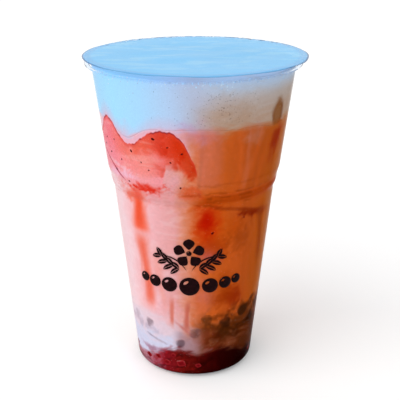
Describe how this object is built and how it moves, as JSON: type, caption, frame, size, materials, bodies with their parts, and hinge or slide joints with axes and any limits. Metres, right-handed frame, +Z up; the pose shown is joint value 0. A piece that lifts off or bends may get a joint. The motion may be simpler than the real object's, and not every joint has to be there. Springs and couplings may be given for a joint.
{
  "type": "bubble tea",
  "caption": "Sealed clear takeaway cup of strawberry bubble tea: milk foam over pink milk tea streaked with fruit puree, with puree and pearls at the base.",
  "frame": {"origin": "on the surface the cup stands on, at the middle of its base", "axes": "+Z up along the cup's axis, -Y towards the printed front, +X to the viewer's right"},
  "size_m": [0.0986, 0.0986, 0.1451],
  "materials": {
    "clear_cup": "clear thermoformed polypropylene, smooth gloss",
    "clear_film": "clear heat-sealed film, slightly wavy",
    "milk_foam": "opaque fine milk foam with small bubbles",
    "milk_tea": "opaque pink milk tea marbled with strawberry puree",
    "fruit_puree": "dark red strawberry puree with pieces of fruit jelly"
  },
  "bodies": {
    "root": {"cup": "clear_cup", "sealing_film": "clear_film", "foam": "milk_foam", "milk_tea": "milk_tea", "fruit_puree": "fruit_puree"}
  },
  "joints": []
}
